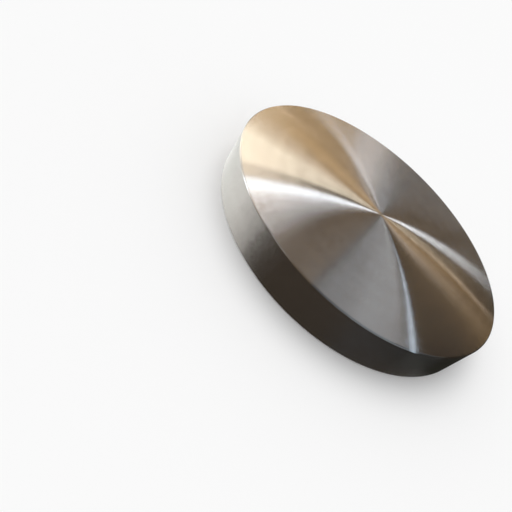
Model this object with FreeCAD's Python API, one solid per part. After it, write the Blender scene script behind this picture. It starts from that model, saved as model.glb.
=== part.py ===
import FreeCAD, Part
import math
import os

# Titanium disc: a round, thick blank that is sawn or forged, then turned all
# over on a lathe. It is one piece of metal, so it is one solid of revolution.
# Lengths are millimetres and angles are degrees. +Z is up and is the turning
# axis. The origin is the centre of the bottom face, so the disc lies on z = 0.

# Driving dimensions
DIAMETER = 320.0            # over the turned rim
THICKNESS = 40.0            # from the bottom face to the top face
TOP_BREAK_WIDTH = 1.0       # how far the top edge break reaches in from the rim
TOP_BREAK_ANGLE = 45.0      # its slope down from the top face
BOTTOM_BREAK_WIDTH = 1.0    # how far the bottom edge break reaches in
BOTTOM_BREAK_ANGLE = 45.0   # its slope up from the bottom face

# Sizes that follow from them
RIM_RADIUS = DIAMETER / 2.0
TOP_BREAK_HEIGHT = TOP_BREAK_WIDTH * math.tan(math.radians(TOP_BREAK_ANGLE))
BOTTOM_BREAK_HEIGHT = BOTTOM_BREAK_WIDTH * math.tan(math.radians(BOTTOM_BREAK_ANGLE))

TURNING_AXIS_POINT = FreeCAD.Vector(0, 0, 0)
TURNING_AXIS = FreeCAD.Vector(0, 0, 1)


def half_section_point(radius, height):
    """A point of the half section, which is drawn in the XZ plane."""
    return FreeCAD.Vector(radius, 0, height)


def half_section():
    """The face that the lathe leaves on one side of the turning axis."""
    bottom_flat_radius = RIM_RADIUS - BOTTOM_BREAK_WIDTH
    top_flat_radius = RIM_RADIUS - TOP_BREAK_WIDTH
    outline = [
        half_section_point(0, 0),
        half_section_point(bottom_flat_radius, 0),
        half_section_point(RIM_RADIUS, BOTTOM_BREAK_HEIGHT),
        half_section_point(RIM_RADIUS, THICKNESS - TOP_BREAK_HEIGHT),
        half_section_point(top_flat_radius, THICKNESS),
        half_section_point(0, THICKNESS),
    ]
    outline.append(outline[0])
    return Part.Face(Part.makePolygon(outline))


def titanium_disc():
    """The whole disc: both faces, the rim and both edge breaks in one turn."""
    return half_section().revolve(TURNING_AXIS_POINT, TURNING_AXIS, 360)


def main():
    os.makedirs("parts", exist_ok=True)
    disc = titanium_disc()
    disc.exportStep("parts/titanium_disc.step")


main()
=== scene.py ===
import math

import bpy
from mathutils import Matrix, Vector


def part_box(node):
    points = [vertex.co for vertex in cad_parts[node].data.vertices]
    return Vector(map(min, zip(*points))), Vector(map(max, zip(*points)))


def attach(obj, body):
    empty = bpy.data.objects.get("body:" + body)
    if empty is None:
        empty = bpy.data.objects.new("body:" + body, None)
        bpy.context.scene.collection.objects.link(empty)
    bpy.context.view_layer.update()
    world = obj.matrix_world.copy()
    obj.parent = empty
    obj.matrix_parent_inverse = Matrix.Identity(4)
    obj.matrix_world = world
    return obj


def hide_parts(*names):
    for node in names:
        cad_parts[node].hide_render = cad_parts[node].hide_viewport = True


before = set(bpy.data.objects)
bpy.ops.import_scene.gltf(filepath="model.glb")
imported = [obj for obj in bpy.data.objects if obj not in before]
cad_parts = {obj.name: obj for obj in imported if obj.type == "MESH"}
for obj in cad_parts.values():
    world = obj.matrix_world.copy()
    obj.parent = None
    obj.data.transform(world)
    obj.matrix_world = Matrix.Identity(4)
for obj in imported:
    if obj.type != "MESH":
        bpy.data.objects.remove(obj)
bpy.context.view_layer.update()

# A titanium disc, faced on a lathe. Lengths are metres, and the disc lies on
# z = 0 with its turning axis along z, as in the CAD frame.
NODE = "titanium_disc"
LOW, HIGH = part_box(NODE)
RADIUS = 0.160
THICKNESS = HIGH.z - LOW.z
EDGE_BREAK = 0.001
TOP_CENTRE = Vector((0.0, 0.0, THICKNESS))

# The camera: a hand-held view from the front, rolled to one side
EYE = Vector((0.0, -0.3975, THICKNESS + 0.1918))
LOOK_AT = Vector((-0.0092, -0.1761, THICKNESS))
CAMERA_ROLL = math.radians(43.75)
LENS_MM = 29.175
SENSOR_MM = 36.0
SHIFT_X = -0.0713
SHIFT_Y = 0.0557

# Light levels. The open sky of the studio and the lamp together light a
# level surface so that its colour renders about as written.
SKY_LEVEL = 0.72
LAMP_LEVEL = 0.30
FLOOR_COLOUR = 0.94
BACKGROUND_LEVEL = FLOOR_COLOUR * (SKY_LEVEL + LAMP_LEVEL)


# The disc's mesh

SEGMENTS = 384              # steps round the axis
ROUNDING = 0.00022          # at each corner of the edge breaks
ROUNDING_STEPS = 4
ROUNDING_MARGIN = 0.0003    # a ring this far from each rounding keeps the flats flat
DIMPLE_RADIUS = 0.0021
DIMPLE_DEPTH = 0.00022
DIMPLE_STEPS = 8
RIM_STEPS = 12
TOP_RINGS_MM = (2.4, 3.2, 5, 8, 12, 18, 26, 36, 48, 62, 78, 94, 110, 124, 136, 146, 153, 157)
UNDERSIDE_RINGS_MM = (157, 150, 136, 118, 98, 78, 58, 40, 24, 12, 5, 2, 0)
MAP_MARGIN_U = 0.002
MAP_MARGIN_V = 0.004


def corner(points, before, at, after):
    """Adds a small rounding where the profile turns at a point, and one more
    point on each side of it."""
    back = (before - at).normalized()
    ahead = (after - at).normalized()
    half = back.angle(ahead) / 2
    reach = ROUNDING / math.tan(half)
    centre = at + (back + ahead).normalized() * (ROUNDING / math.sin(half))
    start = at + back * reach - centre
    end = at + ahead * reach - centre
    turn = start.angle_signed(end)
    points.append(at + back * (reach + ROUNDING_MARGIN))
    for k in range(ROUNDING_STEPS + 1):
        points.append(centre + start @ Matrix.Rotation(turn * k / ROUNDING_STEPS, 2))
    points.append(at + ahead * (reach + ROUNDING_MARGIN))


def disc_profile():
    """Half the disc's outline as (radius, height), from the middle of the top
    face over the rim to the middle of the bottom face."""
    flat = RADIUS - EDGE_BREAK
    turns = [
        Vector((flat, THICKNESS)),
        Vector((RADIUS, THICKNESS - EDGE_BREAK)),
        Vector((RADIUS, EDGE_BREAK)),
        Vector((flat, 0.0)),
    ]
    points = []
    # the dimple where the facing tool ran out
    for k in range(DIMPLE_STEPS + 1):
        t = k / DIMPLE_STEPS
        depth = DIMPLE_DEPTH * (1 - t * t) ** 2
        points.append(Vector((DIMPLE_RADIUS * t, THICKNESS - depth)))
    for mm in TOP_RINGS_MM:
        points.append(Vector((mm / 1000, THICKNESS)))
    ends = [Vector((0.0, THICKNESS))] + turns + [Vector((0.0, 0.0))]
    for before, at, after in zip(ends, turns, ends[2:]):
        if at is turns[2]:
            for k in range(1, RIM_STEPS):
                points.append(turns[1].lerp(turns[2], k / RIM_STEPS))
        corner(points, before, at, after)
    for mm in UNDERSIDE_RINGS_MM:
        points.append(Vector((mm / 1000, 0.0)))
    return points


def disc_mesh():
    """The profile turned about z, with a map whose u runs round the axis and
    whose v runs along the profile."""
    profile = disc_profile()
    along = [0.0]
    for a, b in zip(profile, profile[1:]):
        along.append(along[-1] + (b - a).length)
    verts = [(0.0, 0.0, profile[0].y)]
    for p in profile[1:-1]:
        for k in range(SEGMENTS):
            angle = 2 * math.pi * k / SEGMENTS
            verts.append((p.x * math.cos(angle), p.x * math.sin(angle), p.y))
    verts.append((0.0, 0.0, profile[-1].y))
    last = len(verts) - 1
    rings = len(profile) - 2

    def at(ring, k):
        return 1 + ring * SEGMENTS + k % SEGMENTS

    def uv(point, k):
        u = MAP_MARGIN_U + (1 - 2 * MAP_MARGIN_U) * k / SEGMENTS
        v = 1 - MAP_MARGIN_V - (1 - 2 * MAP_MARGIN_V) * along[point] / along[-1]
        return u, v

    faces = []
    uvs = []
    for k in range(SEGMENTS):
        faces.append((0, at(0, k), at(0, k + 1)))
        uvs += [uv(0, k + 0.5), uv(1, k), uv(1, k + 1)]
    for ring in range(rings - 1):
        for k in range(SEGMENTS):
            faces.append((at(ring, k), at(ring + 1, k), at(ring + 1, k + 1), at(ring, k + 1)))
            uvs += [uv(ring + 1, k), uv(ring + 2, k), uv(ring + 2, k + 1), uv(ring + 1, k + 1)]
    for k in range(SEGMENTS):
        faces.append((at(rings - 1, k), last, at(rings - 1, k + 1)))
        uvs += [uv(rings, k), uv(rings + 1, k + 0.5), uv(rings, k + 1)]
    mesh = bpy.data.meshes.new("turned_disc")
    mesh.from_pydata(verts, [], faces)
    layer = mesh.uv_layers.new(name="OFBake")
    for loop, pair in zip(layer.data, uvs):
        loop.uv = pair
    for polygon in mesh.polygons:
        polygon.use_smooth = True
    mesh.update()
    return mesh


class Nodes:
    """Makes and links the nodes of one material."""

    def __init__(self, material):
        material.use_nodes = True
        self.tree = material.node_tree
        self.tree.nodes.clear()

    def add(self, kind, **settings):
        node = self.tree.nodes.new(kind)
        for name, value in settings.items():
            setattr(node, name, value)
        return node

    def put(self, socket, value):
        """Links a socket to another node's output, or sets its plain value."""
        if isinstance(value, bpy.types.NodeSocket):
            self.tree.links.new(value, socket)
        else:
            socket.default_value = value

    def math(self, operation, a, b=0.0):
        node = self.add("ShaderNodeMath", operation=operation)
        self.put(node.inputs[0], a)
        self.put(node.inputs[1], b)
        return node.outputs[0]

    def vector(self, operation, a, b=(0.0, 0.0, 0.0)):
        node = self.add("ShaderNodeVectorMath", operation=operation)
        self.put(node.inputs[0], a)
        self.put(node.inputs[1], b)
        return node.outputs["Value" if operation == "LENGTH" else "Vector"]

    def scale(self, a, factor):
        node = self.add("ShaderNodeVectorMath", operation="SCALE")
        self.put(node.inputs[0], a)
        self.put(node.inputs["Scale"], factor)
        return node.outputs["Vector"]

    def combine(self, x, y, z):
        node = self.add("ShaderNodeCombineXYZ")
        for socket, value in zip(node.inputs, (x, y, z)):
            self.put(socket, value)
        return node.outputs[0]

    def split(self, vector):
        node = self.add("ShaderNodeSeparateXYZ")
        self.put(node.inputs[0], vector)
        return node.outputs

    def noise(self, vector, scale=1.0, detail=2.0, roughness=0.5):
        node = self.add("ShaderNodeTexNoise")
        self.put(node.inputs["Vector"], vector)
        self.put(node.inputs["Scale"], scale)
        self.put(node.inputs["Detail"], detail)
        self.put(node.inputs["Roughness"], roughness)
        return node.outputs[0]

    def spread(self, value, low, high, to_low=0.0, to_high=1.0, smooth=True):
        """Spreads the values from low to high over to_low to to_high."""
        node = self.add("ShaderNodeMapRange")
        node.interpolation_type = "SMOOTHSTEP" if smooth else "LINEAR"
        for name, number in (
            ("Value", value),
            ("From Min", low),
            ("From Max", high),
            ("To Min", to_low),
            ("To Max", to_high),
        ):
            self.put(node.inputs[name], number)
        return node.outputs[0]

    def mix_colour(self, factor, a, b):
        node = self.add("ShaderNodeMix", data_type="RGBA")
        self.put(node.inputs["Factor"], factor)
        self.put(node.inputs[6], a)
        self.put(node.inputs[7], b)
        return node.outputs[2]


# The disc's material

METAL_DARK = (0.485, 0.455, 0.425, 1.0)
METAL_LIGHT = (0.515, 0.485, 0.455, 1.0)
FRESH_CUT = (0.58, 0.55, 0.52, 1.0)
FEED = 0.00028          # the tool moved on this far each turn
SCALLOP_SLOPE = 0.60    # and left round-bottomed grooves with sides this steep
RIM_CLOSENESS = 1.37    # the lines on the rim are this much closer together
ALONG_THE_LINES = 0.25  # turns the anisotropy so that it follows the lines


def titanium():
    """Bare titanium with the lines that the lathe leaves: round the axis on
    the faces, and round the rim. Every fine line follows the turning."""
    material = bpy.data.materials.new("turned_titanium")
    n = Nodes(material)
    place = n.add("ShaderNodeTexCoord").outputs["Object"]
    x, y, z = n.split(place)
    level = n.combine(x, y, 0.0)
    radius = n.vector("LENGTH", level)
    outward = n.vector("NORMALIZE", level)
    out_x, out_y, _ = n.split(outward)
    around = n.combine(n.math("MULTIPLY", out_y, -1.0), out_x, 0.0)
    # how far along the profile a point is: it grows with the radius on a
    # face, and with the height on the rim
    along = n.math("ADD", radius, n.math("MULTIPLY", z, RIM_CLOSENESS))

    def turned(per_metre, swing, detail=2.0, roughness=0.5, shift=0.0):
        """Noise drawn out into rings, that changes slowly round the axis."""
        rings = n.math("ADD", n.math("MULTIPLY", along, per_metre), shift)
        spot = n.combine(
            rings,
            n.math("MULTIPLY", out_x, swing),
            n.math("MULTIPLY", out_y, swing),
        )
        return n.noise(spot, 1.0, detail, roughness)

    bands = turned(90.0, 0.7, 3.0, 0.6, 31.0)
    clouds = n.noise(place, 22.0, 3.0, 0.55)
    streaks = turned(30.0, 9.0, 2.0, 0.5, 67.0)

    # the breaks at the edges are fresh cuts, with small nicks
    from_middle = n.math("ABSOLUTE", n.math("SUBTRACT", z, THICKNESS / 2))
    at_break = RADIUS + THICKNESS / 2 - EDGE_BREAK
    edge = n.spread(n.math("ADD", radius, from_middle), at_break - 0.0009, at_break - 0.0001)
    worn = n.math("MULTIPLY", edge, n.spread(n.noise(place, 240.0, 2.0), 0.35, 0.65, 0.4, 1.0))

    tone = n.math("ADD", n.math("MULTIPLY", bands, 0.5), n.math("MULTIPLY", clouds, 0.5))
    colour = n.mix_colour(n.spread(tone, 0.36, 0.64), METAL_DARK, METAL_LIGHT)
    colour = n.mix_colour(n.math("MULTIPLY", worn, 0.5), colour, FRESH_CUT)

    # a roughness of about 0.16, a little uneven, and less at the edges
    rough = n.spread(bands, 0.3, 0.7, 0.15, 0.17, smooth=False)
    rough = n.math("ADD", rough, n.spread(clouds, 0.3, 0.7, -0.012, 0.012, smooth=False))
    rough = n.math("ADD", rough, n.spread(streaks, 0.3, 0.7, -0.01, 0.01, smooth=False))
    rough = n.math("SUBTRACT", rough, n.math("MULTIPLY", worn, 0.05))

    # the fine lines tip the surface across themselves, from one side to the
    # other over each turn of the feed, but not in the middle of the face
    normal = n.add("ShaderNodeNewGeometry").outputs["Normal"]
    across = n.vector("CROSS_PRODUCT", around, normal)
    unevenness = n.noise(n.combine(n.math("MULTIPLY", along, 400.0), 0.0, 0.0), 1.0, 1.0)
    turns = n.math("ADD", n.math("DIVIDE", along, FEED), unevenness)
    tip = n.math("SUBTRACT", n.math("FRACT", turns), 0.5)
    tip = n.math("MULTIPLY", tip, 2.0 * SCALLOP_SLOPE)
    tip = n.math("ADD", tip, n.math("MULTIPLY", n.math("SUBTRACT", bands, 0.5), 0.10))
    tip = n.math("MULTIPLY", tip, n.spread(radius, 0.001, 0.006))
    bumped = n.vector("NORMALIZE", n.vector("ADD", normal, n.scale(across, tip)))

    shader = n.add("ShaderNodeBsdfPrincipled")
    n.put(shader.inputs["Base Color"], colour)
    shader.inputs["Metallic"].default_value = 1.0
    n.put(shader.inputs["Roughness"], rough)
    n.put(shader.inputs["Normal"], bumped)
    shader.inputs["Anisotropic"].default_value = 1.0
    shader.inputs["Anisotropic Rotation"].default_value = ALONG_THE_LINES
    tangent = n.add("ShaderNodeTangent", direction_type="RADIAL", axis="Z")
    n.put(shader.inputs["Tangent"], tangent.outputs[0])
    output = n.add("ShaderNodeOutputMaterial")
    n.put(output.inputs["Surface"], shader.outputs[0])
    return material


def make_disc():
    """The one piece that is shown, in place of the plain solid."""
    disc = bpy.data.objects.new("turned_disc", disc_mesh())
    bpy.context.scene.collection.objects.link(disc)
    disc.data.materials.append(titanium())
    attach(disc, "root")
    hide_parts(NODE)


# The studio

FLOOR_HALF_SIZE = 20.0
LAMP_DIRECTION = Vector((-0.25, 0.35, 1.0)).normalized()
LAMP_ANGLE = math.radians(50)
CREAM = (1.0, 0.92, 0.76)
TAN = (1.0, 0.89, 0.80)
GOLD = (1.0, 0.70, 0.38)
BROWN = (1.0, 0.80, 0.60)
COOL = (0.9, 1.0, 1.13)
BLUE = (0.8, 1.0, 1.25)
NEAREST_CARD = 1.8      # from the middle of the top face
CARD_GAP = 0.02         # between one layer of cards and the next
CARD_STEPS = 24


def make_floor():
    """A plain, pale floor."""
    s = FLOOR_HALF_SIZE
    mesh = bpy.data.meshes.new("floor")
    mesh.from_pydata([(-s, -s, 0), (s, -s, 0), (s, s, 0), (-s, s, 0)], [], [(0, 1, 2, 3)])
    floor = bpy.data.objects.new("floor", mesh)
    bpy.context.scene.collection.objects.link(floor)
    material = bpy.data.materials.new("floor")
    n = Nodes(material)
    shader = n.add("ShaderNodeBsdfDiffuse")
    n.put(shader.inputs["Color"], (FLOOR_COLOUR, FLOOR_COLOUR, FLOOR_COLOUR, 1.0))
    output = n.add("ShaderNodeOutputMaterial")
    n.put(output.inputs["Surface"], shader.outputs[0])
    mesh.materials.append(material)


def make_world():
    """A pale room all round. The camera and the metal see it at the floor's
    own brightness, and it lights the floor softly."""
    world = bpy.data.worlds.new("world")
    bpy.context.scene.world = world
    world.cycles.sampling_method = "NONE"
    n = Nodes(world)
    rays = n.add("ShaderNodeLightPath").outputs
    seen = n.math("MAXIMUM", rays["Is Camera Ray"], rays["Is Glossy Ray"])
    seen = n.math("MAXIMUM", seen, rays["Is Transmission Ray"])
    shown = n.add("ShaderNodeBackground")
    n.put(shown.inputs["Strength"], BACKGROUND_LEVEL)
    light = n.add("ShaderNodeBackground")
    n.put(light.inputs["Strength"], SKY_LEVEL)
    for node in (shown, light):
        n.put(node.inputs["Color"], (1.0, 1.0, 1.0, 1.0))
    both = n.add("ShaderNodeMixShader")
    n.put(both.inputs[0], seen)
    n.put(both.inputs[1], light.outputs[0])
    n.put(both.inputs[2], shown.outputs[0])
    output = n.add("ShaderNodeOutputWorld")
    n.put(output.inputs["Surface"], both.outputs[0])


def make_lamp():
    """A large soft lamp, high and behind, that gives the floor its shadow."""
    data = bpy.data.lights.new("lamp", "SUN")
    data.energy = LAMP_LEVEL * math.pi / LAMP_DIRECTION.z
    data.angle = LAMP_ANGLE
    lamp = bpy.data.objects.new("lamp", data)
    lamp.rotation_mode = "QUATERNION"
    lamp.rotation_quaternion = LAMP_DIRECTION.to_track_quat("Z", "Y")
    lamp.location = LAMP_DIRECTION
    lamp.visible_glossy = False
    bpy.context.scene.collection.objects.link(lamp)


def card_material(name, half_x, half_y, border, colour):
    """Plain light of one colour that fades out over the card's border."""
    material = bpy.data.materials.new(name)
    material.cycles.emission_sampling = "NONE"
    n = Nodes(material)
    x, y, _ = n.split(n.add("ShaderNodeUVMap", uv_map="place").outputs[0])
    cover = None
    for value, half in ((x, half_x), (y, half_y)):
        part = n.spread(n.math("ABSOLUTE", value), half + border / 2, half - border / 2)
        cover = part if cover is None else n.math("MULTIPLY", cover, part)
    light = n.add("ShaderNodeEmission")
    n.put(light.inputs["Color"], (*colour, 1.0))
    clear = n.add("ShaderNodeBsdfTransparent")
    both = n.add("ShaderNodeMixShader")
    n.put(both.inputs[0], cover)
    n.put(both.inputs[1], clear.outputs[0])
    n.put(both.inputs[2], light.outputs[0])
    output = n.add("ShaderNodeOutputMaterial")
    n.put(output.inputs["Surface"], both.outputs[0])
    return material


def reflected_only(name, bend, half_x, half_y, border, colour, steps, placed):
    """A staged sheet that only reflections show: it lights no floor, casts
    no shadow and is never in the picture. It is made flat, in steps by steps
    faces, and bend moves each of its points to where it belongs."""
    places = []
    for row in range(steps + 1):
        for column in range(steps + 1):
            x = (2 * column / steps - 1) * (half_x + border / 2)
            y = (2 * row / steps - 1) * (half_y + border / 2)
            places.append((x, y))
    faces = []
    for row in range(steps):
        for column in range(steps):
            k = row * (steps + 1) + column
            faces.append((k, k + 1, k + steps + 2, k + steps + 1))
    mesh = bpy.data.meshes.new(name)
    mesh.from_pydata([bend(x, y) for x, y in places], [], faces)
    layer = mesh.uv_layers.new(name="place")
    for loop in mesh.loops:
        layer.data[loop.index].uv = places[loop.vertex_index]
    mesh.materials.append(card_material(name, half_x, half_y, border, colour))
    thing = bpy.data.objects.new(name, mesh)
    thing.matrix_world = placed
    thing.visible_camera = False
    thing.visible_diffuse = False
    thing.visible_shadow = False
    thing.visible_volume_scatter = False
    bpy.context.scene.collection.objects.link(thing)


def card(name, place, half_size, roll, soft, layer, tone, level):
    """A card or flag of the studio, bent to one distance from the middle of
    the top face. Angles are degrees as seen from there: place is azimuth,
    from +x towards +y, and elevation, half_size is half the width and half
    the height, and soft is the border's width. A lower layer hides a higher
    one."""
    azimuth, elevation = (math.radians(angle) for angle in place)
    ahead = Vector((
        math.cos(azimuth) * math.cos(elevation),
        math.sin(azimuth) * math.cos(elevation),
        math.sin(elevation),
    ))
    side = Vector((-math.sin(azimuth), math.cos(azimuth), 0.0))
    turn = Matrix((side, ahead.cross(side), ahead)).transposed()
    turn = turn @ Matrix.Rotation(math.radians(roll), 3, "Z")
    distance = NEAREST_CARD + CARD_GAP * layer
    reflected_only(
        name,
        lambda x, y: Vector((x, y, 1.0)).normalized() * distance,
        math.tan(math.radians(half_size[0])),
        math.tan(math.radians(half_size[1])),
        math.radians(soft),
        [level * part for part in tone],
        CARD_STEPS,
        Matrix.Translation(TOP_CENTRE) @ turn.to_4x4(),
    )


def ground(name, x, y, turn, half_length, half_width, border, height, colour):
    """A flat sheet on the floor beside the disc."""
    reflected_only(
        name,
        lambda u, v: Vector((u, v, 0.0)),
        half_length,
        half_width,
        border,
        colour,
        1,
        Matrix.Translation((x, y, height)) @ Matrix.Rotation(math.radians(turn), 4, "Z"),
    )


def make_cards():
    """What the metal mirrors above the floor. Strip lights and pale boards
    stand high behind and at the left, and warm boards low behind. Dark flags
    and grey sheets fill the gaps between them, the right and the front, and
    a brown ceiling hangs over the left."""
    # name, azimuth and elevation, half width and half height, roll, soft
    # border, layer, tone, level
    card("strip_light", (138, 48), (22, 3.2), -3, 2.5, 0, COOL, 6)
    card("edge_light", (30, 46.5), (16, 1), 4, 1.5, 1, BLUE, 4)
    card("dark_gap_left", (124, 42), (22, 2.2), 0, 3, 2, BROWN, 0.15)
    card("dark_gap_right", (107, 37), (7, 4.5), 0, 4, 3, BROWN, 0.12)
    card("gold_strip", (98, 33), (6, 0.8), 0, 1, 4, BROWN, 3.2)
    card("gold_board", (122, 6), (18, 17), 0, 4, 5, GOLD, 1.05)
    card("gold_board_top", (107.5, 25), (4.5, 6), 0, 2, 6, GOLD, 1)
    card("tan_board", (104, 8), (7, 18), 0, 9, 7, TAN, 1.3)
    card("cream_board", (135, 22), (27, 22), 0, 6, 8, CREAM, 3)
    card("brown_board", (84, 27), (10, 5), 0, 5, 9, GOLD, 0.65)
    card("grey_board", (88, 8), (10, 18), 0, 2, 10, TAN, 0.13)
    card("dark_flag_right", (47, 20), (38, 28), 0, 2, 11, BROWN, 0.05)
    card("dark_flag_middle", (102, 40), (9, 20), 0, 3, 12, BROWN, 0.15)
    card("pale_board_left", (181, 44), (17, 10), 0, 8, 13, TAN, 2.1)
    card("edge_board_left", (212, 42), (26, 10), 0, 3, 14, COOL, 1)
    card("pale_sheet_edge", (60, 50.8), (9, 2.5), -8, 2, 15, COOL, 2.4)
    card("pale_sheet_back", (63, 62), (27, 14), -15, 1, 16, COOL, 1)
    card("grey_sheet_middle", (89, 42), (6, 22), 0, 1, 17, BLUE, 0.35)
    card("grey_sheet_right", (0, 45), (60, 45), 0, 0.7, 18, BLUE, 0.14)
    card("brown_ceiling_left", (190, 60), (60, 40), 0, 4, 19, BROWN, 0.24)
    card("dark_flag_front", (285, 15), (60, 22), 0, 6, 20, BROWN, 0.1)


def make_ground():
    """Sheets on the floor beside the disc, for the rim to reflect."""
    # name, x, y, turn, half length, half width, border, height, colour
    ground("ground_front", 0.45, -1.0, 15, 1.9, 0.95, 0.03, 0.0003, (0.065, 0.055, 0.045))
    ground("ground_right", 1.0, 0.2, 0, 0.88, 0.6, 0.05, 0.0004, (0.03, 0.03, 0.025))
    ground("ground_left", -0.6, -0.085, 0, 0.52, 0.075, 0.085, 0.0005, (1.3, 1.34, 1.32))
    ground("ground_behind", -0.45, 0.16, 0, 0.4, 0.15, 0.05, 0.0006, (0.2, 0.21, 0.2))


def make_camera():
    """The photograph's viewpoint. The frame is square."""
    data = bpy.data.cameras.new("camera")
    data.lens = LENS_MM
    data.sensor_width = SENSOR_MM
    data.shift_x = SHIFT_X
    data.shift_y = SHIFT_Y
    data.clip_start = 0.01
    camera = bpy.data.objects.new("camera", data)
    level = (LOOK_AT - EYE).to_track_quat("-Z", "Y").to_matrix()
    roll = Matrix.Rotation(CAMERA_ROLL, 3, "Z")
    camera.matrix_world = Matrix.Translation(EYE) @ (level @ roll).to_4x4()
    bpy.context.scene.collection.objects.link(camera)
    bpy.context.scene.camera = camera


bpy.context.scene.view_settings.view_transform = "Standard"
make_camera()
make_disc()
make_floor()
make_world()
make_lamp()
make_cards()
make_ground()
